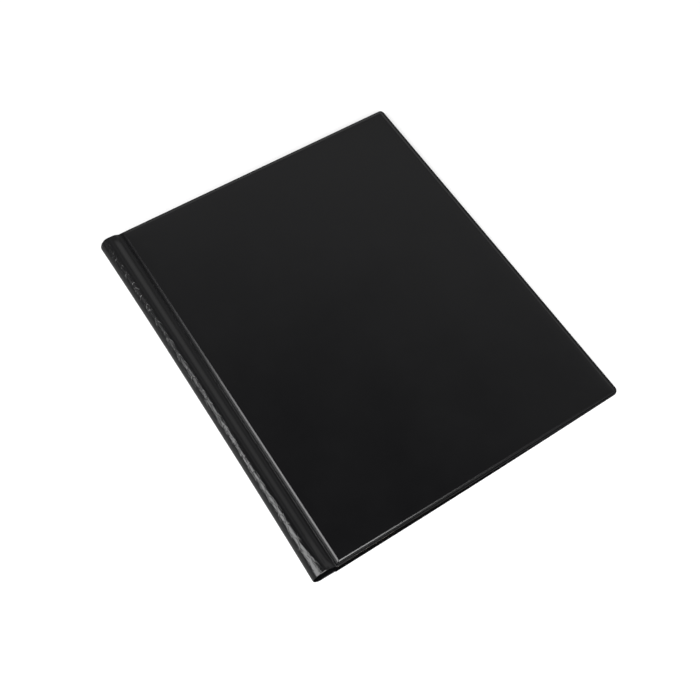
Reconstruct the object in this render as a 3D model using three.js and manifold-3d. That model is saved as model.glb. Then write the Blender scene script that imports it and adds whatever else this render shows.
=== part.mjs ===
// Black plastic folder with two stiff covers, a soft round spine and a plastic prong fastener inside.
// Millimetres, +Z up. The closed folder lies on its back cover: X runs from the spine to the fore
// edge, Y from the tail to the head. Inside this file X and Y are counted from the spine's outermost
// line and from the tail edge; the last group moves the origin to the middle of the underside.
import * as THREE from 'three';
import { mergeVertices } from 'three/addons/utils/BufferGeometryUtils.js';
import Module from 'manifold-3d';

const wasm = await Module();
wasm.setup();

// Covers: plastic film turned over a board and welded round its rim
const coverHeight = 318;      // tail to head
const coverReach = 268;       // spine's outermost line to the fore edge
const hingeSeamX = 17.2;      // spine's outermost line to the near edge of the hinge seam
const filmThickness = 0.5;
const liningThickness = 0.3;
const boardThickness = 1.9;
const layerGap = 0.2;         // slack between lining, board and film
const rimThickness = 0.9;     // both films pressed together by the weld
const rimWidth = 0.6;         // at the head, the tail and the fore edge
const hingeRimWidth = 1.3;
const grooveWidth = 0.3;      // line left by the weld's cutting edge
const grooveDepth = 0.3;
const bevelRun = 1.5;         // how far the film slopes in from the groove to the flat top
const hingeBevelRun = 2.8;
const foreCornerRadius = 4;
const hingeCornerRadius = 0.8;
const sideGap = 0.3;          // slack between the film's wall and what it holds

// The front cover lies over the spine's bulk and slopes down to the fore edge
const frontInnerHeight = 15;  // underside of the front cover at the hinge seam
const foreEdgeGap = 1.3;      // between the two covers at the fore edge

// Spine: a soft loop of film between the two hinge seams
const lowerAxis = { x: 1.05, z: 6 };    // where the spine turns on the back cover's strip
const upperAxis = { x: 1.05, z: 14.4 }; // where the front cover's strip turns on the spine
const shoulderX = 7.8;        // highest and lowest line of the loop
const shoulderRise = 3.0;     // how far the top of the loop stands over the front rim
const shoulderDrop = 0.2;     // how far its underside lies below the back rim's middle
const seatGap = 0.4;          // film ends stay this far from the axis they turn on
const spineInset = 0.4;       // the loop's ends draw in from the head and the tail

// Fastener: base strip with two flat prongs, 80 mm apart as punched A4 sheets are
const prongSpacing = 80;
const fastenerX = 34;         // spine's outermost line to the prongs
const baseWidth = 12;
const baseLength = 128;
const baseThickness = 0.8;
const prongWidth = 6;
const prongThickness = 0.7;
const prongReach = 26;        // length that lies folded along the bar
const prongBend = 0.6;        // inner radius of the fold
const bandThickness = 0.5;    // film band that holds the base to the lining
const bandHemWidth = 4;
const bandEnd = 5;            // band past each end of the base
const slotGap = 0.3;
const barWidth = 12;
const barWaist = 9;           // width under the rails
const barLength = 124;
const barFloor = 1;
const railHeight = 1;
const channelGap = 0.3;       // each side of a prong in the bar's channel
const lockLength = 12;
const lockWall = 1;
const lockRoof = 1;
const lockGap = 0.3;
const lockHook = 0.4;
const lockPlace = 22;         // middle of the bar to the middle of a closed lock
const gripPitch = 1.6;
const gripDepth = 0.45;

const coverThickness = liningThickness + layerGap + boardThickness + layerGap + filmThickness;
const panelWidth = coverReach - hingeSeamX;
const foreInnerHeight = coverThickness + foreEdgeGap;
const frontSlope = Math.asin((frontInnerHeight - foreInnerHeight) / panelWidth);
const frontFrame = new THREE.Matrix4()
  .makeTranslation(hingeSeamX, 0, frontInnerHeight)
  .multiply(new THREE.Matrix4().makeRotationY(frontSlope));

const film = { color: 0x17181a, roughness: 0.38, metalness: 0 };
const lining = { color: 0x1c1d1f, roughness: 0.6, metalness: 0 };
const greyboard = { color: 0x8d867a, roughness: 0.95, metalness: 0 };
const whitePlastic = { color: 0xe6e4de, roughness: 0.45, metalness: 0 };

// three.js geometry to a manifold-3d solid and back
function toSolid(geometry) {
  const bare = geometry.clone();
  bare.deleteAttribute('normal');
  bare.deleteAttribute('uv');
  const merged = mergeVertices(bare, 1e-5);
  return new wasm.Manifold(new wasm.Mesh({
    numProp: 3,
    vertProperties: new Float32Array(merged.attributes.position.array),
    triVerts: new Uint32Array(merged.index.array),
  }));
}

function toGeometry(solid) {
  const mesh = solid.getMesh();
  const geometry = new THREE.BufferGeometry();
  geometry.setAttribute('position', new THREE.BufferAttribute(mesh.vertProperties, 3));
  geometry.setIndex(new THREE.BufferAttribute(mesh.triVerts, 1));
  return geometry;
}

function named(name, solid, look) {
  const geometry = toGeometry(solid);
  geometry.computeVertexNormals();
  const mesh = new THREE.Mesh(geometry, new THREE.MeshStandardMaterial(look));
  mesh.name = name;
  return mesh;
}

// A profile drawn in X and Z, run along Y from y0 to y1
function alongY(shape, y0, y1, curveSegments = 8) {
  const geometry = new THREE.ExtrudeGeometry(shape, { depth: y1 - y0, bevelEnabled: false, curveSegments });
  geometry.rotateX(Math.PI / 2);
  geometry.translate(0, y1, 0);
  return toSolid(geometry);
}

// A profile drawn in Y and Z, run along X from x0 to x1
function alongX(shape, x0, x1, curveSegments = 8) {
  const geometry = new THREE.ExtrudeGeometry(shape, { depth: x1 - x0, bevelEnabled: false, curveSegments });
  geometry.rotateX(Math.PI / 2);
  geometry.rotateZ(Math.PI / 2);
  geometry.translate(x0, 0, 0);
  return toSolid(geometry);
}

// An outline drawn in X and Y, run up from z0 to z1
function alongZ(shape, z0, z1, curveSegments = 6) {
  const geometry = new THREE.ExtrudeGeometry(shape, { depth: z1 - z0, bevelEnabled: false, curveSegments });
  geometry.translate(0, 0, z0);
  return toSolid(geometry);
}

function polygon(points) {
  return new THREE.Shape(points.map(([a, b]) => new THREE.Vector2(a, b)));
}

function block(x0, x1, y0, y1, z0, z1) {
  return alongZ(polygon([[x0, y0], [x1, y0], [x1, y1], [x0, y1]]), z0, z1);
}

function roundedOutline(x0, x1, y0, y1, radius) {
  const shape = new THREE.Shape();
  shape.absarc(x1 - radius, y0 + radius, radius, -Math.PI / 2, 0);
  shape.absarc(x1 - radius, y1 - radius, radius, 0, Math.PI / 2);
  shape.absarc(x0 + radius, y1 - radius, radius, Math.PI / 2, Math.PI);
  shape.absarc(x0 + radius, y0 + radius, radius, Math.PI, Math.PI * 1.5);
  return shape;
}

// One ring of a cover: a rectangle with round corners, drawn in by one amount at the hinge
// and by another at the three free sides
function coverRing(hingeInset, inset, z) {
  const [x0, x1, y0, y1] = [hingeInset, panelWidth - inset, inset, coverHeight - inset];
  const foreRadius = Math.max(foreCornerRadius - inset, 0.6);
  const hingeRadius = hingeCornerRadius;
  const corners = [
    [x1 - foreRadius, y0 + foreRadius, foreRadius, -Math.PI / 2],
    [x1 - foreRadius, y1 - foreRadius, foreRadius, 0],
    [x0 + hingeRadius, y1 - hingeRadius, hingeRadius, Math.PI / 2],
    [x0 + hingeRadius, y0 + hingeRadius, hingeRadius, Math.PI],
  ];
  const steps = 6;
  const ring = [];
  for (const [cx, cy, radius, start] of corners) {
    for (let i = 0; i <= steps; i += 1) {
      const angle = start + (i / steps) * (Math.PI / 2);
      ring.push(new THREE.Vector3(cx + radius * Math.cos(angle), cy + radius * Math.sin(angle), z));
    }
  }
  return ring;
}

// A closed skin through a list of rings, with a fan over the first ring and the last one
function loft(rings) {
  const count = rings[0].length;
  const middle = (ring) => ring.reduce((sum, p) => sum.add(p), new THREE.Vector3()).divideScalar(count);
  const points = [...rings.flat(), middle(rings[0]), middle(rings.at(-1))];
  const first = rings.length * count;
  const index = [];
  for (let i = 0; i < count; i += 1) {
    const next = (i + 1) % count;
    index.push(first, i, next);
    for (let r = 0; r < rings.length - 1; r += 1) {
      const [a, b] = [r * count, (r + 1) * count];
      index.push(a + i, b + i, a + next, a + next, b + i, b + next);
    }
    const last = (rings.length - 1) * count;
    index.push(first + 1, last + next, last + i);
  }
  const geometry = new THREE.BufferGeometry().setFromPoints(points);
  geometry.setIndex(index);
  return toSolid(geometry);
}

// The film's slope from the weld's groove to the flat top, as [share of the run, height].
// It climbs steeply over the board's edge and rounds off on top.
function bevel(bottom, top, steps = 6) {
  const line = [];
  for (let i = 0; i <= steps; i += 1) {
    const angle = (i / steps) * (Math.PI / 2);
    line.push([1 - Math.cos(angle), bottom + (top - bottom) * Math.sin(angle)]);
  }
  return line;
}

// A ring on that slope, or as far inside it as a layer lies
function slopeRing(inset, share, z) {
  const start = grooveWidth + inset;
  return coverRing(hingeRimWidth + start + share * hingeBevelRun, rimWidth + start + share * bevelRun, z);
}

// The outer film of a cover, open underneath: rim, groove and slope outside, the board's bed inside
function coverFilm() {
  const grooveFloor = rimThickness - grooveDepth;
  const outside = bevel(grooveFloor, coverThickness)
    .map(([share, z]) => slopeRing(0, share, z))
    .reverse();
  const rim = [
    coverRing(hingeRimWidth, rimWidth, grooveFloor),
    coverRing(hingeRimWidth, rimWidth, rimThickness),
    coverRing(0, 0, rimThickness),
    coverRing(0, 0, 0),
  ];
  const inside = bevel(0, coverThickness - filmThickness)
    .map(([share, z]) => slopeRing(filmThickness, share, z));
  return loft([...outside, ...rim, ...inside]);
}

// The inner film fills the rim's opening, level with its face
function coverLining() {
  const inset = filmThickness + sideGap;
  return loft([slopeRing(inset, 0, liningThickness), slopeRing(inset, 0, 0)]);
}

// The board lies over the lining, its top corners eased to follow the film
function coverBoard() {
  const bottom = liningThickness + layerGap;
  const top = bottom + boardThickness;
  const inset = filmThickness + sideGap;
  const eased = bevel(0, coverThickness - filmThickness)
    .filter(([, z]) => z > bottom && z < top)
    .map(([share, z]) => slopeRing(inset, share, z))
    .reverse();
  const topShare = 0.62;
  const footShare = 0.06;
  return loft([
    slopeRing(inset, topShare, top),
    ...eased,
    slopeRing(inset, footShare, bottom),
  ]);
}

// A strip of film that follows a curve in X and Z, as a closed outline
function filmOutline(curve, from, to, steps) {
  const left = [];
  const right = [];
  for (let i = 0; i <= steps; i += 1) {
    const share = from + (i / steps) * (to - from);
    const at = curve.getPointAt(share);
    const along = curve.getTangentAt(share);
    const across = new THREE.Vector2(-along.y, along.x).multiplyScalar(filmThickness / 2);
    left.push(at.clone().add(across));
    right.push(at.clone().sub(across));
  }
  return new THREE.Shape([...left, ...right.reverse()]);
}

// A hinge strip: from its axis round the shoulder and down to the seam on a cover's rim
function stripCurve(axis, shoulderZ, seam) {
  const lean = 0.26; // how far the film leans out where it meets the axis, per mm of height
  const up = Math.sign(shoulderZ - axis.z);
  const rise = Math.abs(shoulderZ - axis.z);
  const curve = new THREE.CurvePath();
  const shoulder = new THREE.Vector2(shoulderX, shoulderZ);
  curve.add(new THREE.CubicBezierCurve(
    new THREE.Vector2(axis.x, axis.z),
    new THREE.Vector2(axis.x + lean * 0.6 * rise, axis.z + up * 0.6 * rise),
    new THREE.Vector2(shoulderX - 3.6, shoulderZ),
    shoulder,
  ));
  curve.add(new THREE.CubicBezierCurve(
    shoulder,
    new THREE.Vector2(shoulderX + 3.4, shoulderZ),
    new THREE.Vector2(seam.x - 4.4, seam.y),
    seam,
  ));
  return curve;
}

// Seen from above, a strip is drawn in at the head and the tail from the seam to the spine
function stripPlan(xSeam) {
  return polygon([
    [-coverReach, spineInset], [shoulderX, spineInset], [hingeSeamX, 0], [xSeam, 0],
    [xSeam, coverHeight], [hingeSeamX, coverHeight], [shoulderX, coverHeight - spineInset],
    [-coverReach, coverHeight - spineInset],
  ]);
}

function strip(axis, shoulderZ, seam) {
  const curve = stripCurve(axis, shoulderZ, seam);
  const start = seatGap / curve.getLength();
  const band = alongY(filmOutline(curve, start, 1, 26), 0, coverHeight);
  return band.intersect(alongZ(stripPlan(seam.x), -coverReach, coverReach));
}

const seamOverlap = 0.6; // the strip runs this far into the rim that it is welded to
const frontRimHeight = frontInnerHeight + rimThickness;
const topShoulderZ = frontRimHeight + shoulderRise - filmThickness / 2;
const bottomShoulderZ = coverThickness - rimThickness / 2 - shoulderDrop;

function frontCoverFilm() {
  const seam = new THREE.Vector2(seamOverlap, rimThickness / 2);
  const at = new THREE.Vector3(seam.x, 0, seam.y).applyMatrix4(frontFrame);
  const band = strip(upperAxis, topShoulderZ, new THREE.Vector2(at.x, at.z));
  const inFrame = toGeometry(band).applyMatrix4(frontFrame.clone().invert());
  return coverFilm().add(toSolid(inFrame));
}

// The back cover is the same cover turned over, with its rim uppermost
function turnedOver(solid) {
  const geometry = toGeometry(solid);
  geometry.rotateX(Math.PI);
  geometry.translate(hingeSeamX, coverHeight, coverThickness);
  return toSolid(geometry);
}

function backCoverFilm() {
  const seam = new THREE.Vector2(hingeSeamX + seamOverlap, coverThickness - rimThickness / 2);
  return turnedOver(coverFilm()).add(strip(lowerAxis, bottomShoulderZ, seam));
}

// The spine's back: a shallow arc between the two axes that just reaches X = 0
function spineFilm() {
  const chord = upperAxis.z - lowerAxis.z;
  const sagitta = lowerAxis.x - filmThickness / 2;
  const radius = (chord * chord) / (8 * sagitta) + sagitta / 2;
  const half = Math.asin(chord / 2 / radius);
  const centreX = filmThickness / 2 + radius;
  const centreZ = (lowerAxis.z + upperAxis.z) / 2;
  const arc = new THREE.EllipseCurve(centreX, centreZ, radius, radius, Math.PI + half, Math.PI - half, true);
  const trim = seatGap / arc.getLength();
  return alongY(filmOutline(arc, trim, 1 - trim, 8), spineInset, coverHeight - spineInset);
}

// Fastener heights, from the back cover's inner face upwards
const fastenerY = coverHeight / 2;
const baseTop = coverThickness + baseThickness;
const bandTop = baseTop + bandThickness;
const channelFloor = bandTop + barFloor;
const railTop = channelFloor + railHeight;
const prongPlaces = [-1, 1].map((side) => ({ side, y: fastenerY + (side * prongSpacing) / 2 }));

// One prong seen from the side: up from the base, folded over, flat along the bar to a thin tip
function prongProfile(side, y) {
  const shape = new THREE.Shape();
  const half = prongThickness / 2;
  const at = (inward, z) => [y - side * inward, z];
  const outer = prongBend + prongThickness;
  const steps = 6;
  const points = [at(half, baseTop - baseThickness / 2), at(-half, baseTop - baseThickness / 2)];
  for (let i = 0; i <= steps; i += 1) {
    const angle = (i / steps) * (Math.PI / 2);
    const rise = channelFloor - prongBend + outer * Math.sin(angle);
    points.push(at(half + prongBend - outer * Math.cos(angle), rise));
  }
  const tipThickness = 0.3;
  points.push(at(prongReach - 6, channelFloor + prongThickness));
  points.push(at(prongReach, channelFloor + tipThickness));
  points.push(at(prongReach, channelFloor));
  for (let i = steps; i >= 0; i -= 1) {
    const angle = (i / steps) * (Math.PI / 2);
    points.push(at(half + prongBend - prongBend * Math.cos(angle), channelFloor - prongBend + prongBend * Math.sin(angle)));
  }
  shape.setFromPoints((side > 0 ? points : points.reverse()).map(([a, b]) => new THREE.Vector2(a, b)));
  return shape;
}

function fastenerBase() {
  const [x0, x1] = [fastenerX - baseWidth / 2, fastenerX + baseWidth / 2];
  const [y0, y1] = [fastenerY - baseLength / 2, fastenerY + baseLength / 2];
  let solid = alongZ(roundedOutline(x0, x1, y0, y1, baseWidth / 2 - 0.5), coverThickness, baseTop);
  for (const { side, y } of prongPlaces) {
    const prong = alongX(prongProfile(side, y), fastenerX - prongWidth / 2, fastenerX + prongWidth / 2);
    const [foot, tip] = [y + side * prongWidth, y - side * prongReach];
    const [low, high] = [Math.min(foot, tip), Math.max(foot, tip)];
    const outline = roundedOutline(fastenerX - prongWidth / 2, fastenerX + prongWidth / 2, low, high, prongWidth / 2 - 0.1);
    solid = solid.add(prong.intersect(alongZ(outline, 0, railTop + prongThickness)));
  }
  return solid;
}

// A hole for a prong, with more room on the side that the prong is folded to
function prongHole(side, y, foldRoom, z0, z1) {
  const outer = y + side * (prongThickness / 2 + slotGap);
  const inner = y - side * (prongThickness / 2 + slotGap + foldRoom);
  const halfWidth = prongWidth / 2 + slotGap;
  return block(fastenerX - halfWidth, fastenerX + halfWidth, Math.min(inner, outer), Math.max(inner, outer), z0, z1);
}

// The film band is welded down along both hems and stands over the base between them
function holdingBand() {
  const inner = baseWidth / 2 + slotGap;
  const outer = inner + bandThickness;
  const hem = outer + bandHemWidth;
  const foot = coverThickness + bandThickness;
  const profile = polygon([
    [-hem, coverThickness], [-inner, coverThickness], [-inner, baseTop], [inner, baseTop],
    [inner, coverThickness], [hem, coverThickness], [hem, foot], [outer + 0.4, foot],
    [outer - 0.2, bandTop], [0.2 - outer, bandTop], [-outer - 0.4, foot], [-hem, foot],
  ].map(([x, z]) => [fastenerX + x, z]));
  const half = baseLength / 2 + bandEnd;
  let solid = alongY(profile, fastenerY - half, fastenerY + half);
  for (const { side, y } of prongPlaces) {
    solid = solid.subtract(prongHole(side, y, 0, coverThickness, bandTop + 1));
  }
  return solid;
}

// The bar: a channel for the folded prongs, with rails that the locks run on
function pressureBar() {
  const [half, waist, channel] = [barWidth / 2, barWaist / 2, prongWidth / 2 + channelGap];
  const easing = 0.3;
  const profile = polygon([
    [-waist, bandTop], [waist, bandTop], [waist, channelFloor], [half, channelFloor],
    [half, railTop - easing], [half - easing, railTop], [channel, railTop], [channel, channelFloor],
    [-channel, channelFloor], [-channel, railTop], [easing - half, railTop], [-half, railTop - easing],
    [-half, channelFloor], [-waist, channelFloor],
  ].map(([x, z]) => [fastenerX + x, z]));
  const [y0, y1] = [fastenerY - barLength / 2, fastenerY + barLength / 2];
  const outline = roundedOutline(fastenerX - half, fastenerX + half, y0, y1, 3);
  let solid = alongY(profile, y0, y1).intersect(alongZ(outline, 0, railTop + 1));
  for (const { side, y } of prongPlaces) {
    solid = solid.subtract(prongHole(side, y, prongBend + 0.2, 0, railTop + 1));
    const stopEnd = fastenerY + side * (barLength / 2 - 0.6);
    const stopStart = stopEnd - side * 2;
    solid = solid.add(block(
      fastenerX - channel - 0.5, fastenerX + channel + 0.5,
      Math.min(stopStart, stopEnd), Math.max(stopStart, stopEnd), channelFloor - 0.5, railTop,
    ));
  }
  return solid;
}

// A lock: a clip that runs on the bar's rails and holds the prong down under its ribbed roof
function lock(middleY) {
  const inner = barWidth / 2 + lockGap;
  const outer = inner + lockWall;
  const hookInner = barWaist / 2 + lockGap;
  const hookTop = channelFloor - lockGap;
  const hookBottom = hookTop - lockHook;
  const roofBottom = railTop + lockGap;
  const roofTop = roofBottom + lockRoof;
  const profile = polygon([
    [-outer, hookBottom], [-hookInner, hookBottom], [-hookInner, hookTop], [-inner, hookTop],
    [-inner, roofBottom], [inner, roofBottom], [inner, hookTop], [hookInner, hookTop],
    [hookInner, hookBottom], [outer, hookBottom], [outer, roofTop - 0.6], [outer - 0.6, roofTop],
    [outer - 0.8, roofTop + gripDepth], [0.8 - outer, roofTop + gripDepth], [0.6 - outer, roofTop],
    [-outer, roofTop - 0.6],
  ].map(([x, z]) => [fastenerX + x, z]));
  const [y0, y1] = [middleY - lockLength / 2, middleY + lockLength / 2];
  const ribs = Math.floor((lockLength - 2) / gripPitch);
  const side = [[y0, hookBottom - 1], [y1, hookBottom - 1], [y1, roofTop - 0.4]];
  for (let i = ribs - 1; i >= 0; i -= 1) {
    const y = middleY + (i - (ribs - 1) / 2) * gripPitch;
    side.push([y + 0.6, roofTop], [y + 0.3, roofTop + gripDepth], [y - 0.3, roofTop + gripDepth], [y - 0.6, roofTop]);
  }
  side.push([y0, roofTop - 0.4]);
  return alongY(profile, y0, y1).intersect(alongX(polygon(side), fastenerX - outer, fastenerX + outer));
}

function turned(mesh) {
  mesh.applyMatrix4(frontFrame);
  return mesh;
}

const frontCover = new THREE.Group();
frontCover.add(
  turned(named('front_cover_film', frontCoverFilm(), film)),
  turned(named('front_board', coverBoard(), greyboard)),
  turned(named('front_lining', coverLining(), lining)),
);

const backCover = new THREE.Group();
backCover.add(
  named('back_cover_film', backCoverFilm(), film),
  named('back_board', turnedOver(coverBoard()), greyboard),
  named('back_lining', turnedOver(coverLining()), lining),
);

const spine = new THREE.Group();
spine.add(named('spine_film', spineFilm(), film));

const fastener = new THREE.Group();
fastener.add(
  named('fastener_base', fastenerBase(), whitePlastic),
  named('fastener_band', holdingBand(), lining),
  named('pressure_bar', pressureBar(), whitePlastic),
  named('tail_lock', lock(fastenerY - lockPlace), whitePlastic),
  named('head_lock', lock(fastenerY + lockPlace), whitePlastic),
);

const folder = new THREE.Group();
folder.add(backCover, spine, frontCover, fastener);
folder.position.set(-coverReach / 2, -coverHeight / 2, 0);

export default folder;
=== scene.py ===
import bpy
import bmesh
import math
import random
from mathutils import Matrix, Vector


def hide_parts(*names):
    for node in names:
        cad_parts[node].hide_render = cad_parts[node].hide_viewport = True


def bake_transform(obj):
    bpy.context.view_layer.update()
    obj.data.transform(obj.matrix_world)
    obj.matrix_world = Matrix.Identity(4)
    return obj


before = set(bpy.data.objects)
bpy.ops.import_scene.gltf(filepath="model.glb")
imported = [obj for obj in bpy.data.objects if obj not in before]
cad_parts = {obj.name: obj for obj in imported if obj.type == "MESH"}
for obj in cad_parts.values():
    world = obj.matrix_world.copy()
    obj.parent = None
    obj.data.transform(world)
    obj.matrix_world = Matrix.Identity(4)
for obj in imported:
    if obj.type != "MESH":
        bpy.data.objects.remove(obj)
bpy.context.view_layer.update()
scene = bpy.context.scene
mm = 0.001


# shared helpers
def toLinear(hexColour):
    channels = [int(hexColour[i:i + 2], 16) / 255 for i in (0, 2, 4)]
    return [c / 12.92 if c <= 0.04045 else ((c + 0.055) / 1.055) ** 2.4 for c in channels] + [1.0]


def addNode(tree, kind, settings=None, values=None, links=None):
    node = tree.nodes.new(kind)
    for key, value in (settings or {}).items():
        setattr(node, key, value)
    for key, value in (values or {}).items():
        node.inputs[key].default_value = value
    for key, source in (links or {}).items():
        tree.links.new(source, node.inputs[key])
    return node


def newMaterial(name):
    material = bpy.data.materials.new(name)
    material.use_nodes = True
    material.node_tree.nodes.clear()
    return material, material.node_tree


def toObject(name, points, faces, smoothAngle=35):
    mesh = bpy.data.meshes.new(name)
    mesh.from_pydata([Vector(p) * mm for p in points], [], faces)
    mesh.validate()
    shape = bmesh.new()
    shape.from_mesh(mesh)
    bmesh.ops.remove_doubles(shape, verts=shape.verts, dist=1e-7)
    bmesh.ops.recalc_face_normals(shape, faces=shape.faces)
    for face in shape.faces:
        face.smooth = True
    for edge in shape.edges:
        if len(edge.link_faces) == 2:
            edge.smooth = edge.calc_face_angle(0) < math.radians(smoothAngle)
    shape.to_mesh(mesh)
    shape.free()
    piece = bpy.data.objects.new(name, mesh)
    scene.collection.objects.link(piece)
    return piece


# the folder's own sizes, in millimetres from the spine's outer line and the tail edge
folder = {
    "height": 318, "reach": 268, "seamX": 17.2, "film": 0.5, "cover": 3.1,
    "frontAtHinge": 15.0, "frontAtFore": 4.4, "rim": 0.9, "grooveDepth": 0.3,
    "foreRadius": 4.0, "hingeRadius": 0.8, "inset": 0.3, "waist": 1.2,
}
panelWidth = folder["reach"] - folder["seamX"]
frontSlope = math.asin((folder["frontAtHinge"] - folder["frontAtFore"]) / panelWidth)
origin = Vector((folder["reach"] / 2, folder["height"] / 2, 0))


def onFront(p):
    x, y, z = p
    c, s = math.cos(frontSlope), math.sin(frontSlope)
    return (folder["seamX"] + x * c + z * s, y, folder["frontAtHinge"] - x * s + z * c)


def onBack(p):
    x, y, z = p
    return (folder["seamX"] + x, folder["height"] - y, folder["cover"] - z)


def centred(p):
    return (p[0] - origin.x, p[1] - origin.y, p[2])


# covers: film welded round a board, with rim, groove and slack bevel, as rings round the cover; insets are
# for hinge, tail, fore edge and head
def coverRing(insets, z, turned, steps=10):
    hinge, tail, fore, head = insets
    if turned:
        tail, head = head, tail
    x0, x1 = hinge, panelWidth - fore
    y0, y1 = tail, folder["height"] - head
    lower = max(folder["foreRadius"] - (tail + fore) / 2, 0.6)
    upper = max(folder["foreRadius"] - (head + fore) / 2, 0.6)
    near = folder["hingeRadius"]
    corners = [(x1 - lower, y0 + lower, lower, -90), (x1 - upper, y1 - upper, upper, 0),
               (x0 + near, y1 - near, near, 90), (x0 + near, y0 + near, near, 180)]
    ring = []
    for cx, cy, radius, start in corners:
        for i in range(steps + 1):
            angle = math.radians(start + 90 * i / steps)
            ring.append((cx + radius * math.cos(angle), cy + radius * math.sin(angle), z))
    # points along the long sides let the edge bow
    dense = []
    for a, b in zip(ring, ring[1:] + ring[:1]):
        dense.append(a)
        length = math.dist(a, b)
        parts = 60 if length > 20 else 1
        for k in range(1, parts):
            dense.append(tuple(u + (v - u) * k / parts for u, v in zip(a, b)))
    return [bowed(p, turned) for p in dense]


# both covers run out a little at the tail; the back one is made turned over
def bowed(p, turned):
    x, y, z = p
    share = x / panelWidth
    fromTail, fromHead, way = y, folder["height"] - y, 1
    if turned:
        fromTail, fromHead, way = fromHead, fromTail, -1
    tail = (0.4 + 0.6 * math.sin(math.pi * share)) * max(1 - fromTail / 14, 0) ** 1.5
    head = (0.3 - 0.75 * share) * max(1 - fromHead / 14, 0) ** 1.5
    fore = 0.25 * max(1 - (panelWidth - x) / 14, 0) ** 1.5
    return (x - fore, y + way * (head - tail), z)


# how the film climbs from the groove to the flat top: four Bezier insets at hinge and tail; at fore edge
# and head it lies slack over the board, as [inset, height]
climb = {"hinge": (1.7, 2.4, 3.7, 4.55), "tail": (0.8, 0.8, 1.1, 3.0)}
slack = {
    "fore": [(1.3, 0.0), (1.35, 2.37), (2.9, 2.45), (3.3, 2.55), (4.0, 2.82), (4.6, 2.98), (5.4, 3.06), (6.6, 3.1)],
    "head": [(1.25, 0.0), (1.3, 2.36), (2.5, 2.5), (3.6, 2.84), (4.2, 2.98), (5.0, 3.06), (6.2, 3.1)],
}


def slackInset(side, z):
    line = slack[side]
    for (a, za), (b, zb) in zip(line, line[1:]):
        if z <= zb:
            return a + (b - a) * max(z - za, 0) / (zb - za)
    return line[-1][0]


def coverProfile():
    f = folder
    top, floor = f["rim"], f["rim"] - f["grooveDepth"]
    # the rim: a low bead at the hinge, a flatter one on the other sides
    rim = [(0, 0, 0.12), (0, 0, 0.4), (0.4, 0.03, 0.46), (0.72, 0.08, 0.52), (0.93, 0.14, 0.6), (1.03, 0.2, 0.78),
           (1.12, 0.28, top), (1.22, 0.38, 0.88), (1.32, 0.5, 0.74), (1.4, 0.58, floor + 0.02), (1.54, 0.66, floor)]
    rings = [((h, w, 1.8 * w, 1.8 * w), z) for h, w, z in rim]
    heights = (floor + 0.05, 1.8, f["cover"], f["cover"])
    for i in range(27):
        t = i / 26
        shares = ((1 - t) ** 3, 3 * t * (1 - t) ** 2, 3 * t * t * (1 - t), t ** 3)
        z = sum(a * b for a, b in zip(shares, heights))
        hinge, tail = [sum(a * b for a, b in zip(shares, climb[side])) for side in ("hinge", "tail")]
        rings.append(((hinge, tail, slackInset("fore", z), slackInset("head", z)), z))
    return rings


def coverShell(place, turned):
    rings = [coverRing(*r, turned) for r in coverProfile()]
    rings.append(coverRing((12, 12, 14, 14), folder["cover"], turned))
    # the open inner side, which the lining closes
    inner = (2.1, 1.3, 1.6, 1.6)
    top = folder["cover"] - folder["film"]
    under = [coverRing((0.1,) * 4, 0.0, turned), coverRing(inner, 0.0, turned)]
    under.append(coverRing([v + 0.15 for v in inner], top - 1.2, turned))
    under.append(coverRing([v + 3.4 for v in inner], top, turned))
    order = list(reversed(under)) + rings
    count = len(order[0])
    points = [centred(place(p)) for ring in order for p in ring]
    faces = []
    for r in range(len(order) - 1):
        for i in range(count):
            j = (i + 1) % count
            a, b = r * count, (r + 1) * count
            faces.append((a + i, a + j, b + j, b + i))
    for ring in (order[0], order[-1]):
        middle = [sum(p[k] for p in ring) / count for k in range(3)]
        points.append(centred(place(middle)))
        first = 0 if ring is order[0] else (len(order) - 1) * count
        for i in range(count):
            faces.append((first + i, first + (i + 1) % count, len(points) - 1))
    return points, faces


# hinge strips: one sheet of film from a cover's seam round to the spine's middle
def bezier(points, steps):
    a, b, c, d = [Vector(p) for p in points]
    curve = []
    for i in range(steps):
        t = i / steps
        curve.append((1 - t) ** 3 * a + 3 * t * (1 - t) ** 2 * b + 3 * t * t * (1 - t) * c + t ** 3 * d)
    return curve


strip = {"rows": 420, "shoulderX": 7.8, "topZ": 18.9, "bottomZ": 2.0, "middleZ": 9.6,
         "flare": 2.4, "flareReach": 32.0, "tailRound": 0.7, "lift": 1.2}
# folds pressed into the film over the spine: ends in plan, height, width
folds = [((5.2, 30.0), (8.4, -6.0), 0.17, 0.6), ((3.6, 140.0), (8.6, 118.0), 0.20, 0.8),
         ((7.6, 118.0), (3.8, 104.0), 0.10, 0.7)]
chance = random.Random(4)
for k in range(30):
    start = (chance.uniform(3.0, 5.5), chance.uniform(8, 310))
    length, lean = chance.uniform(4, 11), chance.choice((-1, 1)) * math.radians(chance.uniform(18, 50))
    end = (start[0] + length * math.sin(lean), start[1] + length * math.cos(lean))
    folds.append((start, end, chance.uniform(0.06, 0.13), 0.5))


def foldHeight(x, y):
    total = 0.0
    for (x0, y0), (x1, y1), height, width in folds:
        dx, dy = x1 - x0, y1 - y0
        if min(y0, y1) - 8 > y or max(y0, y1) + 8 < y:
            continue
        size = math.hypot(dx, dy)
        along = ((x - x0) * dx + (y - y0) * dy) / size / size
        if 0 < along < 1:
            across = abs((x - x0) * dy - (y - y0) * dx) / size
            total += height * math.sin(math.pi * along) ** 0.6 * math.exp(-across / width)
    return total


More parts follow.
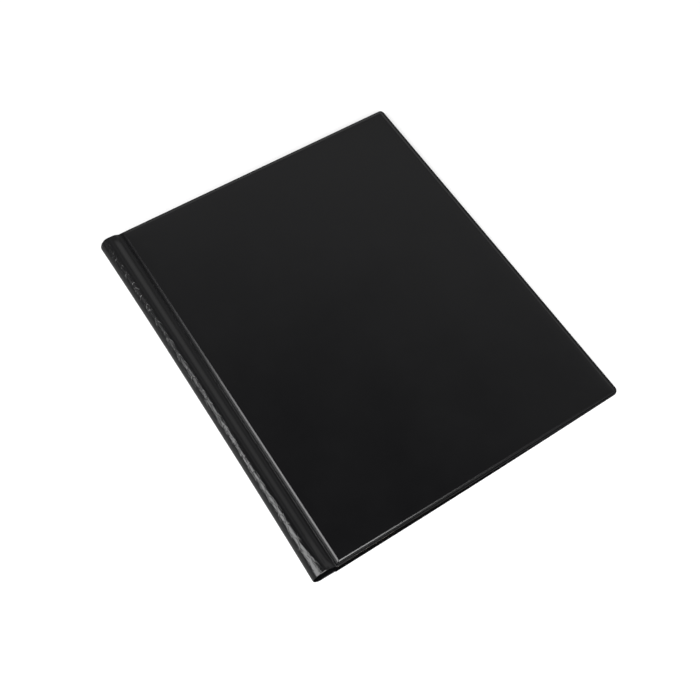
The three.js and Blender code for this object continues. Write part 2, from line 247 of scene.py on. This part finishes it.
def stripLine(seam, shoulderZ, upward):
    # from under the weld rim to the shoulder, then a quarter round to the spine's middle
    s = 1 if upward else -1
    half, x = folder["film"] / 2, strip["shoulderX"]
    top = shoulderZ - s * half
    line = bezier([seam, (seam[0] - 4.2, seam[1]), (x + 3.6, top), (x, top)], 34)
    for i in range(61):
        angle = math.radians(90 * i / 60)
        line.append(Vector((x - (x - half) * math.sin(angle),
                            strip["middleZ"] + (top - strip["middleZ"]) * math.cos(angle))))
    return line


def stripSheet(name, seam, shoulderZ, upward):
    line = stripLine(seam, shoulderZ, upward)
    half = folder["film"] / 2
    normals = []
    for i, p in enumerate(line):
        a, b = line[max(i - 1, 0)], line[min(i + 1, len(line) - 1)]
        along = (b - a).normalized()
        normals.append(Vector((along.y, -along.x)) if upward else Vector((-along.y, along.x)))
    rows = strip["rows"]
    points, weights, faces = [], [], []
    count = len(line)
    for side in (1, -1):
        for i, (p, n) in enumerate(zip(line, normals)):
            # film draws in at head and tail from the seam to the shoulder
            share = min(max((folder["seamX"] - p.x) / (folder["seamX"] - strip["shoulderX"]), 0), 1)
            draw = folder["inset"] * share * share * (3 - 2 * share)
            corner = min(max((4.0 - p.x) / 4.0, 0), 1)
            soft = math.exp(-((p.x - 4.4) / 2.8) ** 2) * (1 if upward else 0.7)
            for k in range(rows + 1):
                v = k / rows
                # the free ends are rounded off
                last = min(k, rows - k)
                if last in (1, 2):
                    v = (0.0005 * last, 1 - 0.0005 * last)[k > rows / 2]
                thin = {0: 0.4, 1: 0.85}.get(last, 1.0)
                y = draw + (folder["height"] - 2 * draw) * v
                y += strip["tailRound"] * corner * corner * max(1 - 20 * v, 0)
                # the spine's middle is drawn in, its ends stand out
                shift = folder["waist"] * (1 - abs(2 * v - 1) ** 2.6) * math.exp(-max(p.x, 0) / 4.5)
                q = p + n * (half * side * thin + (foldHeight(p.x, y) if upward else 0))
                if upward:
                    # towards the tail the shoulder widens
                    flare = strip["flare"] * max(1 - y / strip["flareReach"], 0) ** 1.5
                    shift += flare * math.exp(-((p.x - strip["shoulderX"]) / 3.6) ** 2)
                    # and its free edges run straighter to the rim
                    end = max(1 - min(y, folder["height"] - y) / 9, 0) ** 2
                    q.y += strip["lift"] * end * math.exp(-((p.x - 13.8) / 2.6) ** 2)
                points.append(centred((q.x + shift, y, q.y)))
                weights.append(soft * min(1, 12 * v + 0.2, 12 * (1 - v) + 0.2))
    step = rows + 1
    back = count * step
    for i in range(count - 1):
        for k in range(rows):
            a = i * step + k
            faces.append((a, a + 1, a + step + 1, a + step))
            faces.append((back + a, back + a + step, back + a + step + 1, back + a + 1))
    for k in range(rows):
        faces.append((k, back + k, back + k + 1, k + 1))
        a = (count - 1) * step + k
        faces.append((a, a + 1, back + a + 1, back + a))
    for i in range(count - 1):
        a = i * step
        faces.append((a, a + step, back + a + step, back + a))
        a = i * step + rows
        faces.append((a, back + a, back + a + step, a + step))
    piece = toObject(name, points, faces, 50)
    return piece, weights


def setWeights(piece, weights):
    attribute = piece.data.attributes.new("softness", "FLOAT", "POINT")
    attribute.data.foreach_set("value", weights)


# slow waves in the soft film, by Geometry Nodes
crinkle = {"depth": 0.42, "length": 26.0, "width": 11.0, "seed": 7}


def crinkleTree(material):
    tree = bpy.data.node_groups.new("film crinkle", "GeometryNodeTree")
    face = tree.interface
    face.new_socket("Geometry", in_out="INPUT", socket_type="NodeSocketGeometry")
    for label, value in (("Depth mm", crinkle["depth"]), ("Crease length mm", crinkle["length"]),
                         ("Crease width mm", crinkle["width"]), ("Seed", crinkle["seed"])):
        socket = face.new_socket(label, in_out="INPUT", socket_type="NodeSocketFloat")
        socket.default_value = value
    face.new_socket("Geometry", in_out="OUTPUT", socket_type="NodeSocketGeometry")
    start = addNode(tree, "NodeGroupInput")
    place = addNode(tree, "GeometryNodeInputPosition")
    turn = addNode(tree, "ShaderNodeVectorRotate", {"rotation_type": "AXIS_ANGLE"},
                   {"Axis": (0, 0, 1), "Angle": math.radians(10)}, {"Vector": place.outputs[0]})
    long = addNode(tree, "ShaderNodeMath", {"operation": "DIVIDE"}, {0: 1000.0}, {1: start.outputs["Crease length mm"]})
    short = addNode(tree, "ShaderNodeMath", {"operation": "DIVIDE"}, {0: 1000.0}, {1: start.outputs["Crease width mm"]})
    stretch = addNode(tree, "ShaderNodeCombineXYZ", {}, {},
                      {"X": short.outputs[0], "Y": long.outputs[0], "Z": short.outputs[0]})
    scaled = addNode(tree, "ShaderNodeVectorMath", {"operation": "MULTIPLY"}, {},
                     {0: turn.outputs[0], 1: stretch.outputs[0]})
    noise = addNode(tree, "ShaderNodeTexNoise", {"noise_dimensions": "4D"},
                    {"Scale": 1.0, "Detail": 2.0, "Roughness": 0.4},
                    {"Vector": scaled.outputs[0], "W": start.outputs["Seed"]})
    middle = addNode(tree, "ShaderNodeMath", {"operation": "SUBTRACT"}, {1: 0.5}, {0: noise.outputs[0]})
    full = addNode(tree, "ShaderNodeMath", {"operation": "MULTIPLY"}, {1: 2.0}, {0: middle.outputs[0]})
    softness = addNode(tree, "GeometryNodeInputNamedAttribute", {"data_type": "FLOAT"}, {"Name": "softness"})
    weighted = addNode(tree, "ShaderNodeMath", {"operation": "MULTIPLY"}, {},
                       {0: full.outputs[0], 1: softness.outputs["Attribute"]})
    deep = addNode(tree, "ShaderNodeMath", {"operation": "MULTIPLY"}, {},
                   {0: weighted.outputs[0], 1: start.outputs["Depth mm"]})
    metres = addNode(tree, "ShaderNodeMath", {"operation": "MULTIPLY"}, {1: mm}, {0: deep.outputs[0]})
    normal = addNode(tree, "GeometryNodeInputNormal")
    offset = addNode(tree, "ShaderNodeVectorMath", {"operation": "SCALE"}, {},
                     {0: normal.outputs[0], "Scale": metres.outputs[0]})
    moved = addNode(tree, "GeometryNodeSetPosition", {}, {},
                    {"Geometry": start.outputs["Geometry"], "Offset": offset.outputs[0]})
    real = addNode(tree, "GeometryNodeRealizeInstances", {}, {}, {"Geometry": moved.outputs[0]})
    finish = addNode(tree, "GeometryNodeSetMaterial", {}, {"Material": material}, {"Geometry": real.outputs[0]})
    addNode(tree, "NodeGroupOutput", {}, {}, {"Geometry": finish.outputs[0]})
    return tree


def bake(piece, tree, values):
    modifier = piece.modifiers.new("shape", "NODES")
    modifier.node_group = tree
    for item in tree.interface.items_tree:
        if item.item_type == "SOCKET" and item.in_out == "INPUT" and item.name in values:
            modifier[item.identifier] = values[item.name]
    bpy.context.view_layer.update()
    graph = bpy.context.evaluated_depsgraph_get()
    mesh = bpy.data.meshes.new_from_object(piece.evaluated_get(graph), preserve_all_data_layers=True, depsgraph=graph)
    piece.modifiers.remove(modifier)
    piece.data = mesh
    mesh.name = piece.name
    return piece


# materials
def filmMaterial(name, colour, roughness, grainMm, grainDepth, waveDepth, creaseDepth=0.0):
    # plasticised PVC film, calendered and embossed: black, with a soft sheen broken by a fine grain,
    # and a web of creases where it has been bent again and again
    material, tree = newMaterial(name)
    coords = addNode(tree, "ShaderNodeTexCoord")
    grain = addNode(tree, "ShaderNodeTexNoise", {}, {"Scale": 1000 / grainMm, "Detail": 2.0, "Roughness": 0.6},
                    {"Vector": coords.outputs["Object"]})
    wave = addNode(tree, "ShaderNodeTexNoise", {}, {"Scale": 1000 / 45, "Detail": 2.0, "Roughness": 0.5},
                   {"Vector": coords.outputs["Object"]})
    cloud = addNode(tree, "ShaderNodeTexNoise", {}, {"Scale": 1000 / 60, "Detail": 4.0, "Roughness": 0.6},
                    {"Vector": coords.outputs["Object"]})
    tone = addNode(tree, "ShaderNodeValToRGB", {}, {}, {"Fac": cloud.outputs[0]})
    tone.color_ramp.elements[0].position = 0.3
    tone.color_ramp.elements[0].color = toLinear(colour[0])
    tone.color_ramp.elements[1].position = 0.7
    tone.color_ramp.elements[1].color = toLinear(colour[1])
    dull = addNode(tree, "ShaderNodeMapRange", {}, {"To Min": roughness - 0.03, "To Max": roughness + 0.04},
                   {"Value": cloud.outputs[0]})
    slow = addNode(tree, "ShaderNodeBump", {}, {"Strength": 1.0, "Distance": waveDepth * mm},
                   {"Height": wave.outputs[0]})
    bump = addNode(tree, "ShaderNodeBump", {}, {"Strength": 1.0, "Distance": grainDepth * mm},
                   {"Height": grain.outputs[0], "Normal": slow.outputs[0]})
    finish = bump
    if creaseDepth:
        bent = addNode(tree, "ShaderNodeTexNoise", {}, {"Scale": 1000 / 5, "Detail": 1.0},
                       {"Vector": coords.outputs["Object"]})
        shift = addNode(tree, "ShaderNodeVectorMath", {"operation": "MULTIPLY_ADD"},
                        {1: (0.002, 0.002, 0.002)}, {0: bent.outputs["Color"], 2: coords.outputs["Object"]})
        turned = addNode(tree, "ShaderNodeMapping", {}, {"Rotation": (0, 0, math.radians(38)),
                         "Scale": (1000 / 3.1, 1000 / 8.5, 1000 / 3.1)}, {"Vector": shift.outputs[0]})
        web = addNode(tree, "ShaderNodeTexVoronoi", {"feature": "DISTANCE_TO_EDGE"}, {"Scale": 1.0},
                      {"Vector": turned.outputs[0]})
        lip = addNode(tree, "ShaderNodeMapRange", {"interpolation_type": "SMOOTHSTEP"}, {"From Max": 0.13},
                      {"Value": web.outputs["Distance"]})
        soft = addNode(tree, "ShaderNodeAttribute", {"attribute_name": "softness"})
        held = addNode(tree, "ShaderNodeMath", {"operation": "MULTIPLY"}, {},
                       {0: lip.outputs[0], 1: soft.outputs["Fac"]})
        finish = addNode(tree, "ShaderNodeBump", {}, {"Strength": 1.0, "Distance": creaseDepth * mm},
                         {"Height": held.outputs[0], "Normal": bump.outputs[0]})
    shader = addNode(tree, "ShaderNodeBsdfPrincipled", {}, {"IOR": 1.5},
                     {"Base Color": tone.outputs[0], "Roughness": dull.outputs[0], "Normal": finish.outputs[0]})
    addNode(tree, "ShaderNodeOutputMaterial", {}, {}, {"Surface": shader.outputs[0]})
    return material


def greyboardMaterial():
    # pressed greyboard: dull, flecked with fibres
    material, tree = newMaterial("pressed greyboard")
    coords = addNode(tree, "ShaderNodeTexCoord")
    fleck = addNode(tree, "ShaderNodeTexNoise", {}, {"Scale": 1000 / 1.5, "Detail": 5.0, "Roughness": 0.7},
                    {"Vector": coords.outputs["Object"]})
    tone = addNode(tree, "ShaderNodeValToRGB", {}, {}, {"Fac": fleck.outputs[0]})
    tone.color_ramp.elements[0].color = toLinear("6d675d")
    tone.color_ramp.elements[1].color = toLinear("a39b8d")
    bump = addNode(tree, "ShaderNodeBump", {}, {"Strength": 0.5, "Distance": 0.1 * mm}, {"Height": fleck.outputs[0]})
    shader = addNode(tree, "ShaderNodeBsdfPrincipled", {}, {"Roughness": 0.92, "IOR": 1.45},
                     {"Base Color": tone.outputs[0], "Normal": bump.outputs[0]})
    addNode(tree, "ShaderNodeOutputMaterial", {}, {}, {"Surface": shader.outputs[0]})
    return material


def mouldedMaterial():
    # moulded polypropylene: pale grey, satin, with a faint spark-eroded texture, drawn coarser than it is
    material, tree = newMaterial("moulded polypropylene")
    coords = addNode(tree, "ShaderNodeTexCoord")
    speck = addNode(tree, "ShaderNodeTexNoise", {}, {"Scale": 1000 / 0.5, "Detail": 3.0, "Roughness": 0.6},
                    {"Vector": coords.outputs["Object"]})
    cloud = addNode(tree, "ShaderNodeTexNoise", {}, {"Scale": 1000 / 14, "Detail": 2.0},
                    {"Vector": coords.outputs["Object"]})
    tone = addNode(tree, "ShaderNodeValToRGB", {}, {}, {"Fac": cloud.outputs[0]})
    tone.color_ramp.elements[0].color = toLinear("b4b2aa")
    tone.color_ramp.elements[1].color = toLinear("c2c0b8")
    dull = addNode(tree, "ShaderNodeMapRange", {}, {"To Min": 0.38, "To Max": 0.5}, {"Value": cloud.outputs[0]})
    bump = addNode(tree, "ShaderNodeBump", {}, {"Strength": 0.25, "Distance": 0.03 * mm}, {"Height": speck.outputs[0]})
    shader = addNode(tree, "ShaderNodeBsdfPrincipled", {}, {"IOR": 1.49, "Subsurface Weight": 0.05},
                     {"Base Color": tone.outputs[0], "Roughness": dull.outputs[0], "Normal": bump.outputs[0]})
    addNode(tree, "ShaderNodeOutputMaterial", {}, {}, {"Surface": shader.outputs[0]})
    return material


coverFilm = filmMaterial("calendered PVC film", ("050506", "080809"), 0.24, 0.7, 0.0015, 0.12, 0.13)
liningFilm = filmMaterial("matt PVC lining", ("151516", "1b1b1d"), 0.55, 0.7, 0.02, 0.08)
greyboard = greyboardMaterial()
fastenerPlastic = mouldedMaterial()
print("materials made")

# film pieces
crinkled = crinkleTree(coverFilm)


def joined(name, parts):
    bpy.ops.object.select_all(action="DESELECT")
    for part in parts:
        part.select_set(True)
    bpy.context.view_layer.objects.active = parts[0]
    bpy.ops.object.join()
    parts[0].name = name
    parts[0].data.name = name
    return parts[0]


def filmPiece(name, place, seam, shoulderZ, upward):
    shell = toObject(name + "Shell", *coverShell(place, not upward))
    setWeights(shell, [0.0] * len(shell.data.vertices))
    shell.data.materials.append(coverFilm)
    sheet, weights = stripSheet(name + "Sheet", seam, shoulderZ, upward)
    setWeights(sheet, weights)
    bake(sheet, crinkled, {"Depth mm": crinkle["depth"] if upward else crinkle["depth"] * 0.6})
    return joined(name, [shell, sheet])


frontSeam = onFront((0.6, 0, 0.45))
frontSkin = filmPiece("front_skin", onFront, (frontSeam[0], frontSeam[2]), strip["topZ"], True)
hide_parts("front_cover_film", "spine_film")
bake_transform(frontSkin)
backSkin = filmPiece("back_skin", onBack, (folder["seamX"] + 0.6, folder["cover"] - 0.45), strip["bottomZ"], False)
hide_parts("back_cover_film")
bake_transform(backSkin)
print("film pieces made")

carriedOver = {
    "front_board": greyboard, "back_board": greyboard,
    "front_lining": liningFilm, "back_lining": liningFilm, "fastener_band": liningFilm,
    "fastener_base": fastenerPlastic, "pressure_bar": fastenerPlastic,
    "tail_lock": fastenerPlastic, "head_lock": fastenerPlastic,
}
for name, material in carriedOver.items():
    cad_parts[name].data.materials.clear()
    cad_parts[name].data.materials.append(material)
print("carried-over nodes finished")

# floor, light and camera
studio = {"floor": 6.0, "floorTone": 0.2, "floorGlow": 0.55, "floorSeen": 0.46, "shadowReach": 0.7,
          "farGain": 0.97, "farBase": 0.69,
          "tent": [(0.0, 0.1), (0.15, 0.2), (0.34, 0.55), (0.46, 0.38), (0.56, 0.14), (0.67, 0.13), (0.75, 0.43),
                   (0.8, 0.29), (0.88, 0.11), (0.96, 0.037), (1.0, 0.01)]}

floorMaterial, floorTree = newMaterial("pale studio floor")
seen = addNode(floorTree, "ShaderNodeLightPath")
# to the camera it is white in the open, darker in the object's shadow, and plain white far off
glow = addNode(floorTree, "ShaderNodeEmission", {}, {"Color": (1, 1, 1, 1), "Strength": studio["floorGlow"]})
lit = addNode(floorTree, "ShaderNodeBsdfDiffuse", {}, {"Color": (studio["floorSeen"],) * 3 + (1,)})
near = addNode(floorTree, "ShaderNodeAddShader", {}, {}, {0: glow.outputs[0], 1: lit.outputs[0]})
far = addNode(floorTree, "ShaderNodeEmission", {}, {"Color": (1, 1, 1, 1), "Strength": 1.0})
floorPlace = addNode(floorTree, "ShaderNodeTexCoord")
reach = addNode(floorTree, "ShaderNodeVectorMath", {"operation": "LENGTH"}, {}, {0: floorPlace.outputs["Object"]})
fade = addNode(floorTree, "ShaderNodeMapRange", {"interpolation_type": "SMOOTHSTEP"},
               {"From Min": studio["shadowReach"] * 0.6, "From Max": studio["shadowReach"]},
               {"Value": reach.outputs["Value"]})
white = addNode(floorTree, "ShaderNodeMixShader", {}, {}, {0: fade.outputs[0], 1: near.outputs[0], 2: far.outputs[0]})
matt = addNode(floorTree, "ShaderNodeBsdfDiffuse", {}, {"Color": (studio["floorTone"],) * 3 + (1,)})
either = addNode(floorTree, "ShaderNodeMixShader", {}, {},
                 {0: seen.outputs["Is Camera Ray"], 1: matt.outputs[0], 2: white.outputs[0]})
addNode(floorTree, "ShaderNodeOutputMaterial", {}, {}, {"Surface": either.outputs[0]})
half = studio["floor"] / 2 / mm
corners = [(-half, -half, -0.05), (half, -half, -0.05), (half, half, -0.05), (-half, half, -0.05)]
floor = toObject("floor", corners, [(0, 1, 2, 3)])
floor.data.materials.append(floorMaterial)

world = bpy.data.worlds.new("studio")
scene.world = world
world.use_nodes = True
worldTree = world.node_tree
worldTree.nodes.clear()
path = addNode(worldTree, "ShaderNodeLightPath")
# a light tent: pale walls, dim overhead
direction = addNode(worldTree, "ShaderNodeTexCoord")
split = addNode(worldTree, "ShaderNodeSeparateXYZ", {}, {}, {0: direction.outputs["Generated"]})
tent = addNode(worldTree, "ShaderNodeValToRGB", {}, {}, {"Fac": split.outputs["Z"]})
for spot, (height, level) in enumerate(studio["tent"]):
    steps = tent.color_ramp.elements
    ends = {0: steps[0], len(studio["tent"]) - 1: steps[-1]}
    stop = ends[spot] if spot in ends else steps.new(height)
    stop.position = height
    stop.color = (level, level, level, 1)
# the far side, beyond head and fore edge, is the brighter one
side = addNode(worldTree, "ShaderNodeVectorMath", {"operation": "DOT_PRODUCT"}, {1: (0.7, 0.7, 0)},
               {0: direction.outputs["Generated"]})
gain = addNode(worldTree, "ShaderNodeMath", {"operation": "MULTIPLY_ADD"},
               {1: studio["farGain"], 2: studio["farBase"]}, {0: side.outputs["Value"]})
level = addNode(worldTree, "ShaderNodeMath", {"operation": "MAXIMUM"}, {1: 0.32}, {0: gain.outputs[0]})
fill = addNode(worldTree, "ShaderNodeBackground", {}, {}, {"Color": tent.outputs[0], "Strength": level.outputs[0]})
clear = addNode(worldTree, "ShaderNodeBackground", {}, {"Color": (1, 1, 1, 1), "Strength": 1.0})
mixed = addNode(worldTree, "ShaderNodeMixShader", {}, {},
                {0: path.outputs["Is Camera Ray"], 1: fill.outputs[0], 2: clear.outputs[0]})
addNode(worldTree, "ShaderNodeOutputWorld", {}, {}, {"Surface": mixed.outputs[0]})


def softbox(name, place, aim, size, power):
    data = bpy.data.lights.new(name, "AREA")
    data.shape = "RECTANGLE"
    data.size, data.size_y = size
    data.energy = power
    lamp = bpy.data.objects.new(name, data)
    scene.collection.objects.link(lamp)
    lamp.location = place
    lamp.rotation_euler = (Vector(aim) - Vector(place)).to_track_quat("-Z", "Y").to_euler()


softbox("left softbox", (-1.0, 0.05, 0.8), (-0.13, 0.05, 0), (1.05, 0.95), 21.5)
softbox("near softbox", (-0.14, -0.95, 0.75), (-0.14, -0.1, 0), (0.72, 0.8), 22.0)

cameraFit = {"focal": 1034.24, "azimuth": -0.58317, "elevation": 1.0951, "roll": 0.00969,
             "target": (119.505, 139.193), "distance": 790.5}
az, el, roll = cameraFit["azimuth"], cameraFit["elevation"], cameraFit["roll"]
back = Vector((math.sin(az) * math.cos(el), -math.cos(az) * math.cos(el), math.sin(el)))
right = Vector((0, 0, 1)).cross(back).normalized()
up = back.cross(right)
rightTurned = math.cos(roll) * right + math.sin(roll) * up
upTurned = -math.sin(roll) * right + math.cos(roll) * up
at = Vector((*cameraFit["target"], 0)) - origin + back * cameraFit["distance"]
cameraData = bpy.data.cameras.new("camera")
cameraData.lens = cameraFit["focal"] * 36 / 700
cameraData.sensor_width = 36
cameraData.clip_start = 0.01
camera = bpy.data.objects.new("camera", cameraData)
scene.collection.objects.link(camera)
rows = [[rightTurned[i], upTurned[i], back[i], at[i] * mm] for i in range(3)] + [[0, 0, 0, 1]]
camera.matrix_world = Matrix(rows)
scene.camera = camera
scene.view_settings.view_transform = "Standard"
print("stage, light and camera set")
